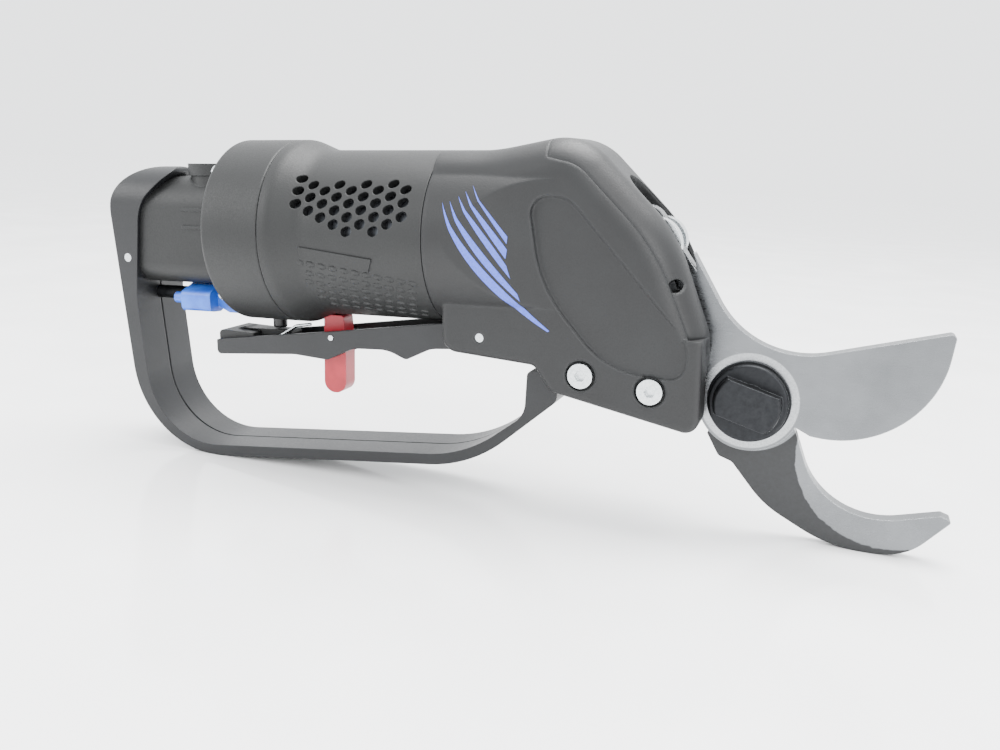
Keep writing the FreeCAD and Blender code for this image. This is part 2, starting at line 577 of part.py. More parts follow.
def head_cavities():
    """Room inside the head for the cylinder's front, the fork's stroke and the blade's tail."""
    tools = [bar("head_bore", ("sleeve_length - 1", 0, 0), Vector(1, 0, 0), "liner_radius + fit_gap",
                 f"{FRONT} + gland_disc - sleeve_length + 1"),
             side_plate("head_chamber", [
                 (f"{FRONT} + gland_disc - 0.5", -15), (f"{FRONT} + gland_disc - 0.5", 16),
                 (88, 17, 6), (112, -7, 6), (114, -22, 3), (86, -22, 3), (78, -15, 3)],
                 "cavity_half", "2*cavity_half"),
             side_plate("head_slot", [
                 (92, 8.6), (109.4, 8.6), (130, 29.2), (150, 29.2), (150, -29), (112, -29, 3), (104, -10)],
                 "slot_half", "2*slot_half"),
             bar("head_slot_end", (105.1, 0, 4.3), Vector(1, 0, 1), "slot_half", 30),
             side_disc("head_hub_room", "pivot_x", "pivot_z", "hub_radius + clear_gap + 0.3", "8.0", "16.0"),
             side_plate("tang_room", [
                 ("clamp_rear_x - 8", -44.8, 3), ("clamp_rear_x - 8", -30.5, 3),
                 ("clamp_front_x", -31.8, 20), (137, -35.5), (137, -60), ("clamp_front_x", -46.9)],
                 "1.5*blade_thick + 2*fit_gap", "blade_thick + 2*fit_gap"),
             side_plate("tail_room", [(119, -24), (122.5, -31), (130.5, -47), (150, -47), (150, -24)],
                        "blade_thick/2 + clear_gap", "blade_thick + 2*clear_gap"),
             side_plate("trigger_room", [
                 (50, -40), (74.6, -40), (74.6, -24.6, 3), (66, -24.3), (50, -22)],
                 "trigger_half + clear_gap", "2*trigger_half + 2*clear_gap"),
             side_disc("trigger_pin_hole", "trigger_x", "trigger_z", "trigger_pin_radius", 30, 60),
             side_plate("guard_tab_room", [(83.4, -60), (83.4, -29.4), (87.6, -29.4), (87.6, -60)],
                        "5 + fit_gap", "10 + 2*fit_gap")]
    for place in ("rear", "front"):
        spot = (f"clamp_{place}_x", f"clamp_{place}_z")
        tools.append(side_disc(f"clamp_hole_{place}", *spot, "screw_radius", 30, 60))
        tools.append(side_disc(f"clamp_well_{place}", *spot, "screw_well_radius",
                               "-head_half + screw_well_depth", 10))
        tools.append(side_disc(f"clamp_nut_well_{place}", *spot, "clamp_nut_radius + fit_gap",
                               "head_half + 10", "10 + clamp_nut_thick"))
    return fuse("head_rooms", tools)


def head_pieces():
    form = head_solid()
    rooms = head_cavities()
    nose_block = side_plate("nose_block", NOSE_LINE, 30, 60)
    cheek_hole = side_disc("cheek_hole", "cheek_hole_x", "cheek_hole_z", "cheek_hole_radius", 30, 60)
    nose = cut("nose_cut", common("nose_form", form, nose_block), [rooms, cheek_hole])
    keep("nose_guide", nose)
    rear = cut("head_rear", form, [nose_block])
    for side, low in (("right", -40), ("left", 0)):
        half_box = block(f"half_{side}", (50, low, -60), (100, 40, 100))
        recess_face = "-head_half + recess_depth" if side == "right" else "head_half + 5"
        recess = side_plate(f"recess_{side}", RECESS_LINE, recess_face, "5 + recess_depth")
        shell = cut(f"head_shell_{side}_cut", common(f"head_half_{side}", rear, half_box), [rooms, recess])
        keep(f"head_shell_{side}", shell)


def clamp_screws():
    screws = []
    nuts = []
    for place in ("rear", "front"):
        spot = (f"clamp_{place}_x", f"clamp_{place}_z")
        face = "-head_half + screw_well_depth"
        head = side_disc(f"clamp_head_{place}", *spot, "screw_head_radius", face, "screw_head_thick")
        shank = side_disc(f"clamp_shank_{place}", *spot, "screw_radius", "head_half", "2*head_half - 1")
        socket = new_body(f"clamp_socket_{place}")
        hexagon = [(f"screw_hex_radius*{round(math.cos(math.radians(60 * k)), 6)}",
                    f"screw_hex_radius*{round(math.sin(math.radians(60 * k)), 6)}") for k in range(6)]
        pad(socket, draw(sketch_on(socket, "XZ_Plane"), hexagon), 5)
        socket.Placement = Placement(Vector(value(spot[0]), value(face) - value("screw_head_thick")
                                            + value("screw_hex_depth"), value(spot[1])), Rotation())
        screws.append(cut(f"clamp_screw_{place}", fuse(f"clamp_blank_{place}", [head, shank]), [socket]))
        nut = new_body(f"clamp_nut_{place}")
        outline = [(f"clamp_nut_radius*{round(math.cos(math.radians(60 * k)), 6)}",
                    f"clamp_nut_radius*{round(math.sin(math.radians(60 * k)), 6)}") for k in range(6)]
        pad(nut, draw(sketch_on(nut, "XZ_Plane"), outline), "clamp_nut_thick")
        nut.Placement = Placement(Vector(value(spot[0]), value("head_half"), value(spot[1])), Rotation())
        bore = side_disc(f"clamp_nut_bore_{place}", *spot, "screw_radius", 30, 20)
        nuts.append(cut(f"clamp_nut_cut_{place}", nut, [bore]))
    keep("clamp_screws", group("clamp_screw_group", screws))
    keep("clamp_nuts", group("clamp_nut_group", nuts))


# ---------------------------------------------------------------- trigger and safety catch
def trigger_pieces():
    lever = side_plate("trigger_blank", [
        (-31.8, -42.3, 1.5), (-1, -40.3, 15), (11.7, -41.3, 2.5), (21, -36.8, 14), (34, -36.4, 14),
        (40.5, -39.2, 2.5), (49, -35.0, 12), ("trigger_x - 3", -33.9, 6), ("trigger_x + 3.8", -32.6, 3.6),
        ("trigger_x + 3.8", -24.9, 3.6), (60.6, -25.6, 6), (12, -31.9, 40), (-31.8, -37.2, 0.5)],
        "trigger_half", "2*trigger_half")
    inner = "2*trigger_half - 2*trigger_wall"
    channel = side_plate("trigger_channel", [
        (-40, -39.6), (-1, "-40.3 + trigger_floor", 15), (11.7, -39.0, 4), (21, -34.6, 14), (34, -34.2, 14),
        (40.5, -37.0, 4), (49, -32.8, 12), (60, -32.2, 2), (60, -20), (-40, -20)],
        "trigger_half - trigger_wall", inner)
    slot = block("trigger_catch_slot", ("catch_x - 7.5", "-catch_half - clear_gap", -50),
                 (17.5, "2*catch_half + 2*clear_gap", 16))
    bores = [side_disc("lever_pin_bore", "trigger_x", "trigger_z", "trigger_pin_radius + running_gap",
                       30, 60),
             side_disc("lever_catch_bore", "catch_x", "catch_z", "catch_pin_radius", 30, 60)]
    keep("trigger_lever", cut("trigger_lever_cut", lever, [channel, slot] + bores))
    keep("trigger_pin", side_disc("trigger_pin_body", "trigger_x", "trigger_z", "trigger_pin_radius",
                                  "head_half - 0.3", "2*head_half - 0.6"))
    keep("catch_pin", side_disc("catch_pin_body", "catch_x", "catch_z", "catch_pin_radius",
                                "trigger_half + 0.2", "2*trigger_half + 0.4"))
    end_block = side_plate("end_block_body", [
        (-31.8, -39.0), (-19, -38.4), (-17.6, -34.6, 1), (-31.8, -33.9, 1.5)],
        "trigger_half - trigger_wall", inner)
    keep("trigger_end_block", end_block)
    catch = side_plate("safety_catch_blank", [
        ("catch_x - 6.2", -36.4, 3), ("catch_x - 5.9", -27.3, 1.5), ("catch_x + 1.4", -27.2, 1.2),
        ("catch_x + 2.0", -37.0, 3), ("catch_x + 1.5", -53.9, 3.9), ("catch_x - 6.7", -53.9, 3.9)],
        "catch_half", "2*catch_half")
    bore = side_disc("catch_bore", "catch_x", "catch_z", "catch_pin_radius + running_gap", 10, 20)
    keep("safety_catch", cut("safety_catch_cut", catch, [bore]))
    rocker = side_plate("rocker_body", [
        (-27.5, -33.9), (-24.6, -33.2, 0.6), (-23.2, -33.7, 0.8), (-6.0, -33.5, 0.8), (-4.6, -35.6, 1),
        (-17.7, -35.9), (-17.7, -34.6), (-19, -33.95)], 3, 6)
    keep("valve_rocker", rocker)
    plunger = turned("plunger_body", [
        ("plunger_low", 0), ("plunger_low", "plunger_radius", 0.8),
        ("plunger_low + plunger_length", "plunger_radius"), ("plunger_low + plunger_length", 0)])
    plunger.Placement = Placement(Vector(value("plunger_x"), 0, 0), Rotation(Vector(0, 1, 0), -90))
    keep("valve_plunger", plunger)


def wire(name, points, radius, bend):
    """Round wire along straight runs joined by tangent bends."""
    edges = []
    start = points[0]
    for i in range(1, len(points) - 1):
        come = (points[i] - points[i - 1]).normalize()
        leave = (points[i + 1] - points[i]).normalize()
        turn = come.getAngle(leave)
        reach = bend * math.tan(turn / 2)
        first, last = points[i] - come * reach, points[i] + leave * reach
        inward = (leave - come).normalize()
        centre = points[i] + inward * (bend / math.cos(turn / 2))
        middle = centre - inward * bend
        edges.append(Part.LineSegment(start, first).toShape())
        edges.append(Part.Arc(first, middle, last).toShape())
        start = last
    edges.append(Part.LineSegment(start, points[-1]).toShape())
    path = Part.Wire(edges)
    heading = (points[1] - points[0]).normalize()
    section = Part.Wire([Part.Circle(points[0], heading, radius).toShape()])
    shape = path.makePipeShell([section], True, True)
    feature = doc.addObject("Part::Feature", name)
    feature.Shape = shape
    return feature


def trigger_spring():
    """Wire leaf spring that lifts the trigger's rear end away from the grip."""
    side = -5.0
    route = [Vector(-14.5, side, -37.6), Vector(-8.5, side, -35.0), Vector(-2.5, side, -31.4),
             Vector(3.2, side, -30.5)]
    keep("trigger_spring", wire("trigger_spring_wire", route, 0.55, 2.5))


# ---------------------------------------------------------------- guard, valve block and selector
def hand_guard():
    band = side_plate("guard_band", [
        (-46.6, "guard_top", 1.5), (-72.2, "guard_top", 15), (-62.6, -80.4, 33), (64, -71.3, 45),
        (93.5, -46.5, 4), (88.1, -38.6, 1), (82.6, -38.6, 2), (81.8, -53.0, 8), (61.5, -68.0, 44),
        (-57.6, -76.3, 26), (-62.2, -24, 40), (-58.8, 8, 16)], "guard_half", "2*guard_half")
    groove = side_plate("guard_groove", [
        (82.0, -40), (82.4, -53.3, 8.5), (61.7, -68.6, 44.6), (-58.0, -76.9, 26.6), (-62.8, -24, 40.6),
        (-59.4, 8, 16), (-50, 10), (-50, -60), (76, -50)], "guard_groove_wide/2", "guard_groove_wide")
    arch = new_body("guard_arch")
    pad(arch, draw(sketch_on(arch, "YZ_Plane", -80), [
        ("-guard_half", -90), ("guard_half", -90), ("guard_half", "guard_top", 12.4),
        ("-guard_half", "guard_top", 12.4)]), 200)
    tab = block("guard_tab", (83.5, -5, -42), (4, 10, 12.4))
    pocket_tool = new_body("guard_pocket")
    pad(pocket_tool, draw(sketch_on(pocket_tool, "YZ_Plane", "block_end"), BLOCK_SECTION), 60)
    window = bar("guard_window", (-80, 0, 0), Vector(1, 0, 0), "inlet_window", 30)
    rod_hole = bar("guard_rod_hole", ("guide_end", 0, "guide_z"), Vector(1, 0, 0),
                   "guide_radius", 20)
    tools = [pocket_tool, window, rod_hole, groove]
    for side, face in (("right", "-guard_half + guard_screw_depth"), ("left", "guard_half + 5")):
        tools.append(side_disc(f"guard_screw_seat_{side}", "guard_screw_x", "guard_screw_z",
                               "guard_screw_head", face, "5 + guard_screw_depth"))
    tools.append(side_disc("guard_screw_hole", "guard_screw_x", "guard_screw_z", "guard_screw_radius",
                           20, 40))
    body = common("guard_form", band, arch)
    keep("hand_guard", cut("hand_guard_cut", fuse("guard_whole", [body, tab]), tools))


BLOCK_SECTION = [("-block_half", "block_bottom", 7), ("block_half", "block_bottom", 7),
                 ("block_half", "block_top", 10.9), ("-block_half", "block_top", 10.9)]


def guard_screws():
    screws = []
    for side, sign in (("right", -1), ("left", 1)):
        outer = sign * (value("guard_half") - 0.1)
        tip = sign * value("guard_screw_length")
        turn = Rotation(Vector(0, 0, 1), Vector(0, -sign, 0))
        place = Vector(value("guard_screw_x"), outer, value("guard_screw_z"))
        head = doc.addObject("Part::Cylinder", f"guard_screw_head_{side}")
        head.Radius = value("guard_screw_head")
        head.Height = value("guard_screw_depth") - 0.1
        shank = doc.addObject("Part::Cylinder", f"guard_screw_shank_{side}")
        shank.Radius = value("guard_screw_radius")
        shank.Height = abs(outer - tip)
        for piece in (head, shank):
            piece.Placement = Placement(place, turn)
        screws.append(fuse(f"guard_screw_{side}", [head, shank]))
    keep("guard_screws", group("guard_screw_group", screws))


def valve_block():
    arm = new_body("block_arm")
    arm_length = "-cap_length + cap_wall - block_end"
    pad(arm, draw(sketch_on(arm, "YZ_Plane", "block_end"), BLOCK_SECTION), arm_length)
    spigot_end = "-cap_length + cap_wall + flange_thick + spigot_length"
    seal_low = "-cap_length + cap_wall + flange_thick + spigot_length/2 - seal_width/2"
    disc = turned("block_disc", [
        ("-cap_length + cap_wall", 0), ("-cap_length + cap_wall", "liner_radius"),
        ("-cap_length + cap_wall + flange_thick", "liner_radius"),
        ("-cap_length + cap_wall + flange_thick", f"{BORE} - fit_gap"),
        (seal_low, f"{BORE} - fit_gap"), (seal_low, f"{BORE} - seal_depth"),
        (f"{seal_low} + seal_width", f"{BORE} - seal_depth"),
        (f"{seal_low} + seal_width", f"{BORE} - fit_gap"),
        (spigot_end, f"{BORE} - fit_gap"), (spigot_end, 0)])
    ribs = []
    for index, level in enumerate((6.5, 0.6)):
        ribs.append(block(f"block_rib_{index}", ("-cap_length - 21", "-block_half - 0.6", level),
                          (22, "2*block_half + 1.2", 0.9)))
    boss = bar("exhaust_boss", ("exhaust_x", 0, 10), Vector(0, 0, 1), "exhaust_radius - 0.8",
               "exhaust_base - 10")
    tools = [bar("inlet_bore", ("block_end", 0, 0), Vector(1, 0, 0), "inlet_radius", "inlet_depth"),
             bar("spool_tunnel", ("spool_bore_end", 0, "spool_z"), Vector(1, 0, 0), "spool_bore", 60),
             bar("exhaust_duct", ("exhaust_x", 0, "spool_z"), Vector(0, 0, 1), 3, 20),
             bar("inlet_duct", ("block_end + inlet_depth - 1", 0, 0), Vector(1, 0, 0), 2, 20),
             bar("feed_duct", ("block_end + inlet_depth + 16", 0, 0), Vector(0, 0, 1), 2, "spool_z"),
             side_disc("block_screw_hole", "guard_screw_x", "guard_screw_z", "guard_screw_radius", 20, 40)]
    keep("valve_block", cut("valve_block_cut", fuse("block_whole", [arm, disc, boss] + ribs), tools))
    keep("exhaust_cap", exhaust_cap())
    keep("valve_spool", valve_spool())
    keep("valve_plug", bar("valve_plug_body", ("-cap_length + cap_wall", 0, "spool_z"), Vector(1, 0, 0),
                           "spool_bore", "flange_thick"))
    keep("valve_spring", valve_spring())


def valve_spool():
    groove = "spool_bore - 1.5"
    outer = "spool_bore - running_gap"
    spool = turned("valve_spool_body", [
        ("spool_start", 0), ("spool_start", outer), ("spool_start + 4", outer), ("spool_start + 4", groove),
        ("spool_start + 9", groove), ("spool_start + 9", outer), ("spool_start + 12", outer),
        ("spool_start + 12", groove), ("spool_start + 15", groove), ("spool_start + 15", outer),
        ("spool_start + spool_length", outer), ("spool_start + spool_length", 0)])
    spool.Placement = Placement(Vector(0, 0, value("spool_z")), Rotation())
    return spool


def valve_spring():
    """Open coil spring behind the spool, as a stack of turns on one helix."""
    radius = value("spool_bore") - 1.2
    length = value("spool_start") - value("spool_bore_end") - 1.2
    helix = Part.makeHelix(length / value("spring_turns"), length, radius)
    section = Part.Wire([Part.Circle(Vector(radius, 0, 0), Vector(0, 1, 0), value("spring_wire")).toShape()])
    shape = Part.Wire(helix).makePipeShell([section], True, True)
    feature = doc.addObject("Part::Feature", "valve_spring_coil")
    feature.Shape = shape
    start = Vector(value("spool_bore_end") + 0.6, 0, value("spool_z"))
    feature.Placement = Placement(start, Rotation(Vector(0, 0, 1), Vector(1, 0, 0)))
    return feature


def exhaust_cap():
    """Slotted disc over the exhaust duct."""
    disc = bar("exhaust_disc", ("exhaust_x", 0, "exhaust_base"), Vector(0, 0, 1), "exhaust_radius",
               "exhaust_thick")
    slots = [block(f"exhaust_slot_{k}", (f"exhaust_x - 6.2", f"{-5 + 2.4 * k}", "exhaust_base + 1.2"),
                   (12.4, 1.2, 6)) for k in range(5)]
    return cut("exhaust_cap_cut", disc, slots)


def selector_pieces():
    keep("guide_rod", bar("guide_rod_body", ("guide_end", 0, "guide_z"), Vector(1, 0, 0), "guide_radius",
                          "-cap_length + cap_wall - guide_end - 0.2"))
    hub = bar("selector_hub_body", ("selector_x", 0, "guide_z"), Vector(1, 0, 0), "selector_hub",
              "selector_length")
    wing = new_body("selector_wing")
    pad(wing, draw(sketch_on(wing, "YZ_Plane", "selector_x + 1"), [
        (0, "guide_z - 3.6"), (0, "guide_z + 3.9"), (-3, "guide_z + 3.7", 2), (-9.3, "guide_z + 1.6", 2.2),
        (-9.0, "guide_z - 5.0", 2), (-3, "guide_z - 5.4", 2)]), "selector_length - 2")
    knob = bar("selector_knob", ("selector_x - 2.2", -7.0, "guide_z - 0.7"), Vector(1, 0, 0), 1.9, 6)
    arm = side_plate("selector_arm", [
        ("selector_x + 12", "guide_z + 1"), ("selector_x + 12", "guide_z - 3", 2), (-29.5, -28.5, 1),
        (-23.6, -28.5, 1), (-26.0, "guide_z - 3", 2), ("selector_x + 16", "guide_z + 1", 1)],
        -2.4, 2.0)
    bore = bar("selector_bore", ("selector_x - 5", 0, "guide_z"), Vector(1, 0, 0),
               "guide_radius + running_gap", 30)
    keep("opening_selector", cut("selector_cut", fuse("selector_whole", [hub, wing, knob, arm]), [bore]))


# ---------------------------------------------------------------- build, stand and write
def low_point(shape, pitch):
    """Lowest Z of a shape after pitching it about Y."""
    turned_shape = shape.copy()
    turned_shape.rotate(Vector(0, 0, 0), Vector(0, 1, 0), pitch)
    return turned_shape.optimalBoundingBox(False, False).ZMin


def rest_placement():
    """Pitch that lets guard and counter blade touch one level floor, origin under the box's middle."""
    guard, hook = PARTS["hand_guard"].Shape, PARTS["counter_blade"].Shape
    low, high = -8.0, 2.0
    while high - low > 0.001:
        middle = (low + high) / 2
        if low_point(hook, middle) > low_point(guard, middle):
            low = middle
        else:
            high = middle
    pitch = (low + high) / 2
    box = FreeCAD.BoundBox()
    for piece in PARTS.values():
        shape = piece.Shape.copy()
        shape.rotate(Vector(0, 0, 0), Vector(0, 1, 0), pitch)
        box.add(shape.optimalBoundingBox(False, False))
    turn = Rotation(Vector(0, 1, 0), pitch)
    return Placement(Vector(-box.Center.x, -box.Center.y, -box.ZMin), turn)


def main():
    for make in (rear_cap, cap_screws, grip_sleeve, cylinder_pieces, piston_group, rod_fork,
                 cutting_blade, counter_blade, pivot_pieces, head_pieces, clamp_screws,
                 trigger_pieces, trigger_spring, hand_guard, guard_screws, valve_block,
                 selector_pieces):
        make()
    doc.recompute()
    rest = rest_placement()
    for piece in PARTS.values():
        piece.Placement = rest * piece.Placement
    doc.recompute()
    for item in doc.Objects:
        if "Invalid" in item.State or "Error" in item.State:
            raise RuntimeError(f"{item.Name} failed: {item.State}")
    os.makedirs("parts", exist_ok=True)
    for label, piece in PARTS.items():
        shape = piece.Shape
        if shape.isNull() or not shape.isValid() or not shape.Solids:
            raise RuntimeError(f"{label} has no valid solid")
        shape.exportStep(f"parts/{label}.step")
    print("rest placement", rest.Base, "pitch", rest.Rotation.toEuler())
    print(len(PARTS), "sub-parts written")


main()
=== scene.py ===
import json
import math

import bmesh
import bpy
from mathutils import Matrix, Vector
from mathutils.bvhtree import BVHTree


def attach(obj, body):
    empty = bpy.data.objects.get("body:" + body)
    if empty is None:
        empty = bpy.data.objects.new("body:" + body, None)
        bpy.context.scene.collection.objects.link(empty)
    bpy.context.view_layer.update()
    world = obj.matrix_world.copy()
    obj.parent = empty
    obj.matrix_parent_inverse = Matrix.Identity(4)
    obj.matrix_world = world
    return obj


# Compressed-air pruning shear on a pale floor. The tool frame used below has its origin on the
# cylinder's axis at the rear end of the grip sleeve: forward along the axis, left, and up, in mm.

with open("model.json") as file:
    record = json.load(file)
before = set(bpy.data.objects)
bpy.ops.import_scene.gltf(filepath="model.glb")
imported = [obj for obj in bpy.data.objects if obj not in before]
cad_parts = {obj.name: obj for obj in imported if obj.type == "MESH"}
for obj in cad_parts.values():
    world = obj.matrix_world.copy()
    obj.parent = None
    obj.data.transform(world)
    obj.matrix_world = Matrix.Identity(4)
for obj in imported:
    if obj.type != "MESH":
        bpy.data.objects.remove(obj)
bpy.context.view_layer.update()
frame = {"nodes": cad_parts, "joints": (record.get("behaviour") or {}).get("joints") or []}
nodes = frame["nodes"]
joints = {joint["name"]: joint for joint in frame["joints"]}

MM = 0.001
PIVOT = (147.6, 0.0, -44.7)                    # blade pivot in the tool frame
HUB_RING = 14.2                                # radius of the faced ring round the pivot
CUT_MIDDLE = (188.0, -60.3)                    # middle of the hooked cut, x and z in the tool frame
BARE_REACH = 26.6                              # radius of the bare steel along the hooked edge
BARE_HUB = 16.5                                # radius of the counter blade's bare hub
HEAD_HALF = 19.0                               # half the head's width
FORWARD = Vector(joints["piston_slide"]["axis"])
UP = Vector(joints["plunger_slide"]["axis"])
LEFT = UP.cross(FORWARD)
TURN = Matrix((FORWARD, LEFT, UP)).transposed()
ORIGIN = Vector(joints["blade_swing"]["pos_m"]) - TURN @ (Vector(PIVOT) * MM)
TOOL = Matrix.Translation(ORIGIN) @ TURN.to_4x4() @ Matrix.Scale(MM, 4)


def at(x, y, z):
    """Row-frame place in metres of a tool-frame point in mm."""
    return TOOL @ Vector((x, y, z))


# ------------------------------------------------------------------ nodes and colours
def linear(code):
    """Linear RGBA of an sRGB hex colour."""
    shades = [int(code[i:i + 2], 16) / 255 for i in (1, 3, 5)]
    return [s / 12.92 if s <= 0.04045 else ((s + 0.055) / 1.055) ** 2.4 for s in shades] + [1.0]


def add(tree, kind, settings=None, links=None):
    """One shader node with its settings and the sockets that feed it."""
    node = tree.nodes.new("ShaderNode" + kind)
    for key, setting in (settings or {}).items():
        if isinstance(key, str) and hasattr(node, key):
            setattr(node, key, setting)
        else:
            node.inputs[key].default_value = setting
    for key, source in (links or {}).items():
        tree.links.new(source, node.inputs[key])
    return node


def start(name, **surface):
    """New material; the surface's constants go straight on the shader's own sockets."""
    material = bpy.data.materials.new(name)
    material.use_nodes = True
    tree = material.node_tree
    shader = tree.nodes["Principled BSDF"]
    for key, setting in surface.items():
        shader.inputs[key.replace("_", " ")].default_value = setting
    place = add(tree, "TexCoord").outputs["Object"]
    return material, tree, shader, place


def noise(tree, place, size_mm, detail=2.0, rough=0.5, stretch=None):
    """Noise whose blotches are size_mm across, or stretch mm along each axis."""
    sizes = stretch or (size_mm, size_mm, size_mm)
    scaled = add(tree, "Mapping", {"Scale": [1 / (s * MM) for s in sizes]}, {"Vector": place})
    return add(tree, "TexNoise", {"Scale": 1.0, "Detail": detail, "Roughness": rough},
               {"Vector": scaled.outputs["Vector"]}).outputs["Fac"]


def shades(tree, factor, low, high, start_at=0.3, end_at=0.7):
    """Colour that runs between two hex shades over part of a factor's range."""
    ramp = add(tree, "ValToRGB", None, {"Fac": factor})
    for stop, place, code in zip(ramp.color_ramp.elements, (start_at, end_at), (low, high)):
        stop.position = place
        stop.color = linear(code)
    return ramp.outputs["Color"]


def span(tree, factor, low, high, start_at=0.3, end_at=0.7):
    """Number that runs from low to high over part of a factor's range."""
    return add(tree, "MapRange", {"From Min": start_at, "From Max": end_at, "To Min": low, "To Max": high},
               {"Value": factor}).outputs["Result"]


def soften(tree, shader, radius_mm, bumps=()):
    """Round the arrises by radius_mm for the eye, then lay fine relief (factor, depth in mm) over them."""
    rounded = add(tree, "Bevel", {"samples": 4, "Radius": radius_mm * MM}).outputs["Normal"]
    normal = rounded
    for factor, depth_mm in bumps:
        normal = add(tree, "Bump", {"Strength": 1.0, "Distance": depth_mm * MM},
                     {"Height": factor, "Normal": normal}).outputs["Normal"]
    tree.links.new(normal, shader.inputs["Normal"])
    return rounded


def arris(tree, rounded, low=0.004, high=0.12):
    """1 on an arris and 0 on a flat, from how far the rounded normal leans off the true one."""
    true = add(tree, "NewGeometry").outputs["Normal"]
    lean = add(tree, "VectorMath", {"operation": "DOT_PRODUCT"}, {0: rounded, 1: true}).outputs["Value"]
    return add(tree, "MapRange", {"From Min": 1 - low, "From Max": 1 - high, "To Min": 0.0, "To Max": 1.0},
               {"Value": lean}).outputs["Result"]


def worn(tree, colour, edge, code, amount=0.5):
    """Colour that turns to a paler shade on the arrises."""
    part = add(tree, "Math", {"operation": "MULTIPLY", 1: amount}, {0: edge}).outputs["Value"]
    mix = add(tree, "Mix", {"data_type": "RGBA", "clamp_factor": True, 7: linear(code)},
              {0: part, 6: colour})
    return mix.outputs[2]


# ------------------------------------------------------------------ materials
def spark_textured_nylon(name, dark, pale, rough, rounding_mm=0.5):
    """Glass-filled nylon 66 from a spark-eroded mould: a matt, slightly grainy charcoal, a little
    paler where hands rub it and along its arrises. The 0.25 mm grain is drawn 0.45 mm wide."""
    material, tree, shader, place = start(name, IOR=1.53, Specular_IOR_Level=0.36)
    grain = noise(tree, place, 0.45, 2.0, 0.6)
    patches = noise(tree, place, 16.0, 3.0, 0.55)
    rounded = soften(tree, shader, rounding_mm, [(patches, 0.08), (grain, 0.045)])
    colour = shades(tree, patches, dark, pale)
    tree.links.new(worn(tree, colour, arris(tree, rounded), "#2c2e2f", 0.4), shader.inputs["Base Color"])
    tree.links.new(span(tree, grain, rough - 0.06, rough + 0.08), shader.inputs["Roughness"])
    return material


def radial(tree, place, x, z):
    """Distance in mm from an axis across the tool at x and z of the tool frame."""
    off = add(tree, "VectorMath", {"operation": "SUBTRACT", 1: at(x, 0, z)}, {0: place}).outputs["Vector"]
    flat = add(tree, "VectorMath", {"operation": "MULTIPLY", 1: (1 / MM, 0, 1 / MM)},
               {0: off}).outputs["Vector"]
    return add(tree, "VectorMath", {"operation": "LENGTH"}, {0: flat}).outputs["Value"]


def edge_of(tree, distance, radius, soft=0.15):
    """1 inside a radius and 0 outside it, with an edge soft mm wide either way."""
    return add(tree, "MapRange", {"From Min": radius + soft, "From Max": radius - soft,
                                  "To Min": 0.0, "To Max": 1.0}, {"Value": distance}).outputs["Result"]


def mixed(tree, part, first, second):
    """Colour that turns from the first to the second where part is 1."""
    return add(tree, "Mix", {"data_type": "RGBA"}, {0: part, 6: first, 7: second}).outputs[2]


def satin_steel(tree, shader, place, stretch, low, high):
    """Ground steel's colour and its grinding lines: satin, faintly clouded where oil was wiped off."""
    lines = noise(tree, place, 1.0, 2.0, 0.6, stretch)
    clouds = noise(tree, place, 22.0, 3.0, 0.6)
    rounded = soften(tree, shader, 0.45, [(lines, 0.007)])
    colour = shades(tree, clouds, low, high, 0.25, 0.75)
    colour = worn(tree, colour, arris(tree, rounded), "#b4b6b8", 0.6)
    both = add(tree, "Math", {"operation": "MULTIPLY"}, {0: lines, 1: clouds}).outputs["Value"]
    return colour, span(tree, both, 0.24, 0.40, 0.15, 0.4)


def ground_blade_steel(name, stretch, low="#606264", high="#757779"):
    """Hardened blade steel, ground across and then fine-belted: satin, with faint 0.2 mm lines and a
    brighter faced ring round its hub."""
    material, tree, shader, place = start(name, Metallic=1.0)
    colour, rough = satin_steel(tree, shader, place, stretch, low, high)
    hub = edge_of(tree, radial(tree, place, PIVOT[0], PIVOT[2]), HUB_RING)
    turned = noise(tree, place, 0.5, 1.0, 0.5)
    colour = mixed(tree, hub, colour, shades(tree, turned, "#8f9193", "#a6a8aa"))
    tree.links.new(colour, shader.inputs["Base Color"])
    tree.links.new(rough, shader.inputs["Roughness"])
    return material


def coated_blade_steel(name, stretch):
    """Counter blade: black wear coating with a 1 mm mottle, ground off in a bare band along the
    hooked edge, whose boundary follows a circle round the middle of the cut."""
    material, tree, shader, place = start(name)
    bare, rough = satin_steel(tree, shader, place, stretch, "#646668", "#7a7c7e")
    mottle = noise(tree, place, 1.0, 3.0, 0.6)
    coat = shades(tree, mottle, "#0f1011", "#191a1c")
    ragged = noise(tree, place, 2.5, 2.0, 0.6)
    reach = add(tree, "Math", {"operation": "MULTIPLY_ADD", 1: 1.2, 2: -0.6}, {0: ragged}).outputs["Value"]
    distance = add(tree, "Math", {"operation": "ADD"},
                   {0: radial(tree, place, *CUT_MIDDLE), 1: reach}).outputs["Value"]
    band = edge_of(tree, distance, BARE_REACH)
    hub = edge_of(tree, radial(tree, place, PIVOT[0], PIVOT[2]), BARE_HUB)
    bright = add(tree, "Math", {"operation": "MAXIMUM"}, {0: band, 1: hub}).outputs["Value"]
    tree.links.new(mixed(tree, bright, coat, bare), shader.inputs["Base Color"])
    tree.links.new(bright, shader.inputs["Metallic"])
    dull = add(tree, "Mix", {"data_type": "FLOAT", 2: 0.5}, {0: bright, 3: rough}).outputs[0]
    tree.links.new(dull, shader.inputs["Roughness"])
    return material


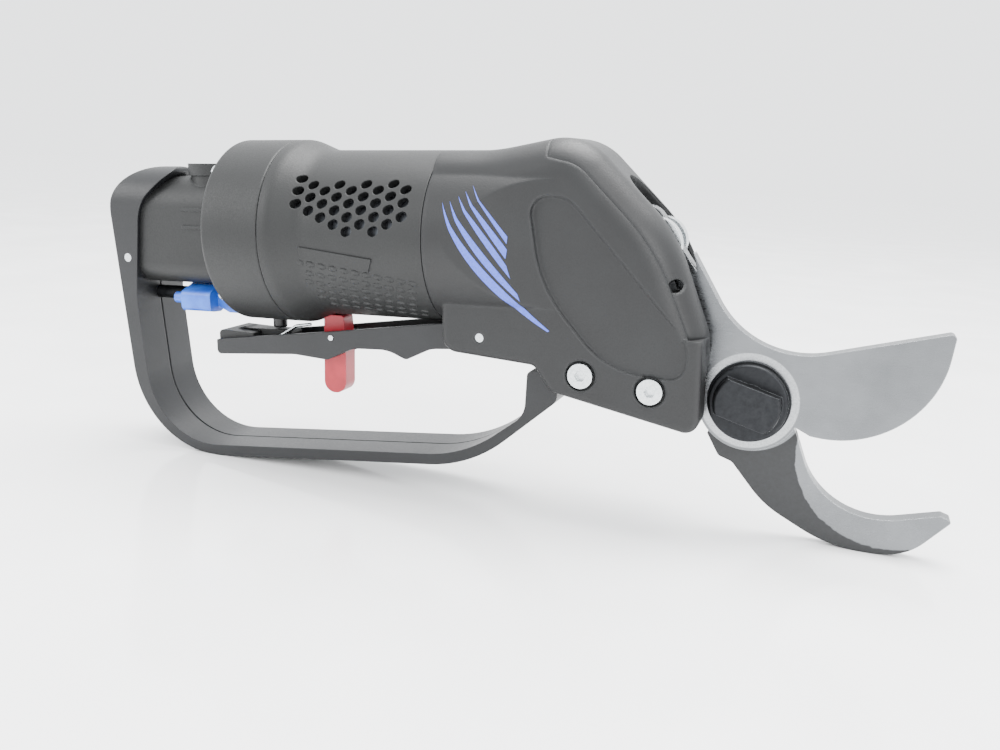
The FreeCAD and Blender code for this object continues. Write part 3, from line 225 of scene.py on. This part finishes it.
def black_oxide_steel(name, dark="#1b1c1e", pale="#2a2b2d"):
    """Milled steel, hot-blackened and oiled: dark grey with a low sheen, mottled at 1 to 2 mm, and
    rubbed back to grey steel on its arrises."""
    material, tree, shader, place = start(name, Metallic=0.85)
    mottle = noise(tree, place, 1.6, 4.0, 0.7)
    rounded = soften(tree, shader, 0.3, [(mottle, 0.03)])
    colour = shades(tree, mottle, dark, pale)
    tree.links.new(worn(tree, colour, arris(tree, rounded), "#5c5e60", 0.6), shader.inputs["Base Color"])
    tree.links.new(span(tree, mottle, 0.36, 0.55), shader.inputs["Roughness"])
    return material


def bright_zinc_plate(name):
    """Zinc-plated and clear-passivated steel: bright, faintly blue, with a 0.6 mm crystalline
    unevenness that breaks up its reflections."""
    material, tree, shader, place = start(name, Metallic=1.0)
    crystals = noise(tree, place, 0.6, 3.0, 0.6)
    rounded = soften(tree, shader, 0.2, [(crystals, 0.02)])
    colour = shades(tree, crystals, "#b4b9bc", "#dde1e2")
    tree.links.new(worn(tree, colour, arris(tree, rounded), "#f1f3f3", 0.5), shader.inputs["Base Color"])
    tree.links.new(span(tree, crystals, 0.18, 0.34), shader.inputs["Roughness"])
    return material


def hard_anodised_aluminium(name):
    """Turned aluminium, hard-anodised dark grey: satin, with turning lines 0.3 mm apart round it."""
    material, tree, shader, place = start(name, Metallic=1.0)
    lines = noise(tree, place, 1.0, 1.0, 0.5, (0.3, 40.0, 40.0))
    soften(tree, shader, 0.3, [(lines, 0.01)])
    tree.links.new(shades(tree, lines, "#3c3e42", "#5a5d61"), shader.inputs["Base Color"])
    tree.links.new(span(tree, lines, 0.26, 0.40), shader.inputs["Roughness"])
    return material


def sintered_bronze(name):
    """Oil-filled sintered bronze: warm, dull, with 0.4 mm pores."""
    material, tree, shader, place = start(name, Metallic=1.0)
    pores = noise(tree, place, 0.4, 2.0, 0.7)
    soften(tree, shader, 0.2, [(pores, 0.02)])
    tree.links.new(shades(tree, pores, "#7a5c34", "#b08a50"), shader.inputs["Base Color"])
    tree.links.new(span(tree, pores, 0.35, 0.55), shader.inputs["Roughness"])
    return material


def nitrile_rubber(name):
    """Moulded nitrile: dull black with a fine 0.5 mm unevenness."""
    material, tree, shader, place = start(name, IOR=1.52)
    skin = noise(tree, place, 0.5, 2.0, 0.5)
    soften(tree, shader, 0.2, [(skin, 0.02)])
    tree.links.new(shades(tree, skin, "#151515", "#222222"), shader.inputs["Base Color"])
    tree.links.new(span(tree, skin, 0.6, 0.75), shader.inputs["Roughness"])
    return material


def moulded_acetal(name, dark, pale, edge):
    """Coloured acetal from a polished mould: even and a little waxy, with faint 5 mm flow clouds, a
    pale rub along its arrises and a 0.5 mm orange-peel skin."""
    material, tree, shader, place = start(
        name, IOR=1.48, Subsurface_Weight=0.06, Subsurface_Radius=(0.0012, 0.0006, 0.0004),
        Subsurface_Scale=1.0)
    clouds = noise(tree, place, 5.0, 2.0, 0.5)
    skin = noise(tree, place, 0.5, 2.0, 0.5)
    rounded = soften(tree, shader, 0.45, [(skin, 0.015)])
    colour = shades(tree, clouds, dark, pale)
    tree.links.new(worn(tree, colour, arris(tree, rounded), edge, 0.4), shader.inputs["Base Color"])
    tree.links.new(span(tree, skin, 0.28, 0.42), shader.inputs["Roughness"])
    return material


def pad_printed_ink(name):
    """Pad-printed periwinkle ink on grained nylon: matt, and slightly thin where the grain stands up."""
    material, tree, shader, place = start(name, IOR=1.5, Specular_IOR_Level=0.35)
    grain = noise(tree, place, 0.5, 3.0, 0.7)
    soften(tree, shader, 0.1, [(grain, 0.03)])
    tree.links.new(shades(tree, grain, "#3a4cb0", "#5064c4", 0.25, 0.6), shader.inputs["Base Color"])
    tree.links.new(span(tree, grain, 0.45, 0.6), shader.inputs["Roughness"])
    return material


NYLON = spark_textured_nylon("glass_filled_nylon_spark_textured", "#0c0d0d", "#121313", 0.50)
HEAD_NYLON = spark_textured_nylon("glass_filled_nylon_soft_edged", "#0c0c0d", "#111213", 0.46, 1.6)
GUARD_NYLON = spark_textured_nylon("glass_filled_nylon_satin", "#0d0e10", "#131416", 0.42)
BLADE = ground_blade_steel("hardened_steel_ground_satin", (3.0, 12.0, 0.25))
COATED = coated_blade_steel("hardened_steel_black_coated", (3.0, 12.0, 0.25))
OXIDE = black_oxide_steel("milled_steel_black_oxide")
ZINC = bright_zinc_plate("steel_bright_zinc_plated")
ANODISED = hard_anodised_aluminium("aluminium_turned_hard_anodised")
BRONZE = sintered_bronze("bronze_sintered_oiled")
RUBBER = nitrile_rubber("nitrile_rubber_moulded")
RED = moulded_acetal("acetal_moulded_red", "#8e1422", "#a51e2c", "#c9505c")
BLUE = moulded_acetal("acetal_moulded_blue", "#2450b8", "#3570d8", "#6f9ee8")
BLACK = moulded_acetal("acetal_turned_black", "#0e0e0f", "#161617", "#3a3b3c")
INK = pad_printed_ink("ink_pad_printed_periwinkle")

FINISH = {
    HEAD_NYLON: ["nose_guide", "head_shell_right", "head_shell_left"],
    NYLON: ["rear_cap", "grip_sleeve", "valve_block", "exhaust_cap", "trigger_end_block", "valve_rocker"],
    GUARD_NYLON: ["hand_guard", "trigger_lever"],
    BLADE: ["cutting_blade"], COATED: ["counter_blade"],
    OXIDE: ["pivot_nut", "pivot_bolt", "pivot_washer", "guide_rod"],
    ZINC: ["cap_screws", "clamp_screws", "clamp_nuts", "guard_screws", "trigger_pin", "catch_pin",
           "trigger_spring", "valve_spring", "fork_pin", "piston_rod", "rod_fork",
           "rod_nut"],
    ANODISED: ["cylinder_liner", "front_cover", "piston", "valve_plug", "valve_spool"],
    BRONZE: ["pivot_bush", "rod_bush"],
    RUBBER: ["liner_rear_seal", "liner_front_seal", "rod_seal", "piston_seal"],
    RED: ["safety_catch"], BLUE: ["opening_selector"], BLACK: ["valve_plunger"],
}
for material, names in FINISH.items():
    for name in names:
        nodes[name].data.materials.clear()
        nodes[name].data.materials.append(material)


# ------------------------------------------------------------------ pieces
def finished(name, mesh, material, body):
    """Object at the origin from a bmesh in row metres, riding on its body."""
    bmesh.ops.recalc_face_normals(mesh, faces=mesh.faces)
    data = bpy.data.meshes.new(name)
    mesh.to_mesh(data)
    mesh.free()
    data.materials.append(material)
    piece = bpy.data.objects.new(name, data)
    bpy.context.scene.collection.objects.link(piece)
    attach(piece, body)
    return piece


def surface_of(*names):
    """Search tree over CAD nodes' surfaces."""
    mesh = bmesh.new()
    for name in names:
        mesh.from_mesh(nodes[name].data)
    tree = BVHTree.FromBMesh(mesh)
    mesh.free()
    return tree


CLEAR_OF_SIDE = 60.0                           # starts a search outside the tool's side
HEAD_SKIN = surface_of("head_shell_right", "nose_guide")
SLEEVE_SKIN = surface_of("grip_sleeve")


def on_right_side(skin, x, z, lift=0.0):
    """Point of the tool's right side at x and z, lifted off the skin in mm."""
    spot = skin.ray_cast(at(x, -CLEAR_OF_SIDE, z), LEFT)[0]
    if spot is None:
        return at(x, -HEAD_HALF - lift, z)
    return spot - LEFT * lift * MM


# Each printed stripe: its tip, the bend of its two edges, and the two corners of its cut end, (x, z).
STRIPES = [
    ((60.0, 11.7), (67.2, -12.5), (91.0, -25.3), (69.5, -8.6), (91.4, -24.9)),
    ((62.3, 12.0), (69.0, -5.2), (82.7, -16.6), (71.0, -2.2), (81.9, -14.4)),
    ((64.7, 13.4), (71.2, 0.6), (79.9, -10.1), (72.6, 3.0), (78.7, -6.2)),
    ((66.6, 14.8), (72.0, 4.6), (78.5, -4.3), (73.0, 6.4), (78.9, -1.6)),
    ((68.4, 16.5), (72.6, 9.0), (78.8, 0.0), (73.2, 9.6), (79.0, 2.1)),
]
STRIPE_STEPS, STRIPE_LANES = 48, 4
INK_LIFT, INK_THICK = 0.10, 0.06


def bowed(start_at, control, end_at, part):
    """Point a part of the way along a quadratic bow."""
    rest = 1 - part
    return [rest * rest * a + 2 * rest * part * b + part * part * c
            for a, b, c in zip(start_at, control, end_at)]


def printed_stripes():
    """Five tapered stripes of ink that follow the head's side."""
    for index, (tip, low_bend, low_end, high_bend, high_end) in enumerate(STRIPES):
        mesh = bmesh.new()
        grid = []
        for step in range(STRIPE_STEPS + 1):
            part = step / STRIPE_STEPS
            low, high = bowed(tip, low_bend, low_end, part), bowed(tip, high_bend, high_end, part)
            across = [[a + (b - a) * lane / STRIPE_LANES for a, b in zip(low, high)]
                      for lane in range(STRIPE_LANES + 1)]
            grid.append([mesh.verts.new(on_right_side(HEAD_SKIN, x, z, INK_LIFT)) for x, z in across])
        for near, far in zip(grid, grid[1:]):
            for lane in range(STRIPE_LANES):
                mesh.faces.new((near[lane], far[lane], far[lane + 1], near[lane + 1]))
        bmesh.ops.remove_doubles(mesh, verts=list(mesh.verts), dist=0.01 * MM)
        bmesh.ops.recalc_face_normals(mesh, faces=mesh.faces)
        bmesh.ops.solidify(mesh, geom=list(mesh.faces), thickness=INK_THICK * MM)
        finished(f"printed_stripe_{index + 1}", mesh, INK, "tool_frame")


# Raised bar: its corners (x, z) from the top rear round to the bottom rear, and how it stands.
BAR_CORNERS = [(13.0, -2.6), (37.6, -5.6), (36.0, -9.6), (13.0, -6.4)]
BAR_STEPS, BAR_SINK, BAR_THICK = 20, 0.2, 0.65


def raised_bar():
    """Plain raised bar below the vent panel."""
    mesh = bmesh.new()
    rails = []
    for (x0, z0), (x1, z1) in (BAR_CORNERS[:2], BAR_CORNERS[:1:-1]):
        row = []
        for step in range(BAR_STEPS + 1):
            part = step / BAR_STEPS
            x, z = x0 + (x1 - x0) * part, z0 + (z1 - z0) * part
            row.append(mesh.verts.new(on_right_side(SLEEVE_SKIN, x, z, -BAR_SINK)))
        rails.append(row)
    for step in range(BAR_STEPS):
        mesh.faces.new((rails[0][step], rails[0][step + 1], rails[1][step + 1], rails[1][step]))
    grown = bmesh.ops.extrude_face_region(mesh, geom=list(mesh.faces))
    lifted = [item for item in grown["geom"] if isinstance(item, bmesh.types.BMVert)]
    bmesh.ops.translate(mesh, verts=lifted, vec=-LEFT * BAR_THICK * MM)
    bmesh.ops.recalc_face_normals(mesh, faces=mesh.faces)
    finished("grip_raised_bar", mesh, NYLON, "tool_frame")


# Scales: rows round the grip, their pitch along it, and one scale's half sizes, in mm and degrees.
SCALE_ROWS, SCALE_COLUMNS, SCALE_PITCH = 6, 11, 3.75
SCALE_START, SCALE_SHIFT, SCALE_END = 12.5, 0.9, 50.0
SCALE_TURN, SCALE_ROW_TURN, SCALE_FALL = 16.0, 7.0, 0.32
SCALE_HALF, SCALE_TILT, SCALE_SEAT = (1.75, 0.5, 1.15), 14.0, 26.62


def scale_places():
    """Place along the grip and turn round it of each scale, row by row."""
    for row in range(SCALE_ROWS):
        odd = row % 2
        for column in range(SCALE_COLUMNS - odd):
            x = SCALE_START + SCALE_SHIFT * row + (column + 0.5 * odd) * SCALE_PITCH
            if x <= SCALE_END:
                yield x, SCALE_TURN + SCALE_ROW_TURN * row + SCALE_FALL * (x - 12)


def grip_scales():
    """Rows of small overlapping scales on the lower right and lower left of the grip."""
    stretch = Matrix.Diagonal((*SCALE_HALF, 1.0))
    tilt = Matrix.Rotation(math.radians(SCALE_TILT), 4, "Y")
    for side, sign in (("right", 1), ("left", -1)):
        mesh = bmesh.new()
        flip = Matrix.Diagonal((1, sign, 1, 1))
        for x, turn in scale_places():
            scale = bmesh.ops.create_icosphere(mesh, subdivisions=1, radius=1.0)["verts"]
            seat = Matrix.Translation((x, -SCALE_SEAT, 0))
            spin = Matrix.Rotation(math.radians(turn), 4, "X")
            bmesh.ops.transform(mesh, verts=scale, matrix=TOOL @ flip @ spin @ seat @ tilt @ stretch)
        finished(f"grip_scales_{side}", mesh, NYLON, "tool_frame")


printed_stripes()
raised_bar()
grip_scales()


# ------------------------------------------------------------------ floor, light and camera
def glazed_floor():
    """Glazed white tabletop: pale, slightly glossy, with a faint 60 mm unevenness."""
    material, tree, shader, place = start("tabletop_glazed_white", IOR=1.5)
    waves = noise(tree, place, 60.0, 2.0, 0.5)
    tree.links.new(shades(tree, waves, "#f2f2f2", "#f8f8f8"), shader.inputs["Base Color"])
    tree.links.new(span(tree, waves, 0.10, 0.18), shader.inputs["Roughness"])
    mesh = bmesh.new()
    bmesh.ops.create_grid(mesh, x_segments=1, y_segments=1, size=3.0)
    data = bpy.data.meshes.new("tabletop")
    mesh.to_mesh(data)
    mesh.free()
    data.materials.append(material)
    floor = bpy.data.objects.new("tabletop", data)
    bpy.context.scene.collection.objects.link(floor)


def soft_light(name, place, target, size, power):
    """Square soft box of a size in metres, turned to a target."""
    lamp = bpy.data.lights.new(name, "AREA")
    lamp.size = size
    lamp.energy = power
    holder = bpy.data.objects.new(name, lamp)
    bpy.context.scene.collection.objects.link(holder)
    aim = (Vector(target) - Vector(place)).to_track_quat("-Z", "Y")
    holder.matrix_world = Matrix.Translation(place) @ aim.to_matrix().to_4x4()


# Soft boxes: place and size in metres, and power in watts; all face the tool's middle.
SOFT_BOXES = {"top_box": ((0.1, 0.25, 1.1), 0.9, 42), "right_box": ((0.9, -0.9, 0.7), 0.7, 16),
              "left_box": ((-1.0, -0.7, 0.6), 0.6, 9)}
TOOL_MIDDLE = (0, 0, 0.05)
SKY_STRENGTH = 3.0


def studio():
    """Pale even surroundings and three soft boxes."""
    world = bpy.data.worlds.new("studio")
    world.use_nodes = True
    background = world.node_tree.nodes["Background"]
    background.inputs["Color"].default_value = linear("#f2f4f6")
    background.inputs["Strength"].default_value = SKY_STRENGTH
    bpy.context.scene.world = world
    for name, (place, size, power) in SOFT_BOXES.items():
        soft_light(name, place, TOOL_MIDDLE, size, power)


# Camera: azimuth, elevation and roll in degrees, lens in mm, and its place in the tool frame.
VIEW_ANGLES = (20.0753, 12.4755, 0.285)
LENS_MM, SENSOR_MM, NEAR_M = 34.35, 36.0, 0.01
EYE = (172.137, -281.483, 22.555)


def camera():
    """View from the tool's right, ahead of its middle and slightly above."""
    azimuth, elevation, roll = (math.radians(a) for a in VIEW_ANGLES)
    back = Vector((math.sin(azimuth) * math.cos(elevation), -math.cos(azimuth) * math.cos(elevation),
                   math.sin(elevation)))
    side = (-back).cross(Vector((0, 0, 1))).normalized()
    top = side.cross(-back)
    right = side * math.cos(roll) + top * math.sin(roll)
    above = -side * math.sin(roll) + top * math.cos(roll)
    lens = bpy.data.cameras.new("view")
    lens.sensor_width = SENSOR_MM
    lens.lens = LENS_MM
    lens.clip_start = NEAR_M
    holder = bpy.data.objects.new("view", lens)
    bpy.context.scene.collection.objects.link(holder)
    pose = TURN @ Matrix((right, above, back)).transposed()
    holder.matrix_world = Matrix.Translation(at(*EYE)) @ pose.to_4x4()
    bpy.context.scene.camera = holder


glazed_floor()
studio()
camera()
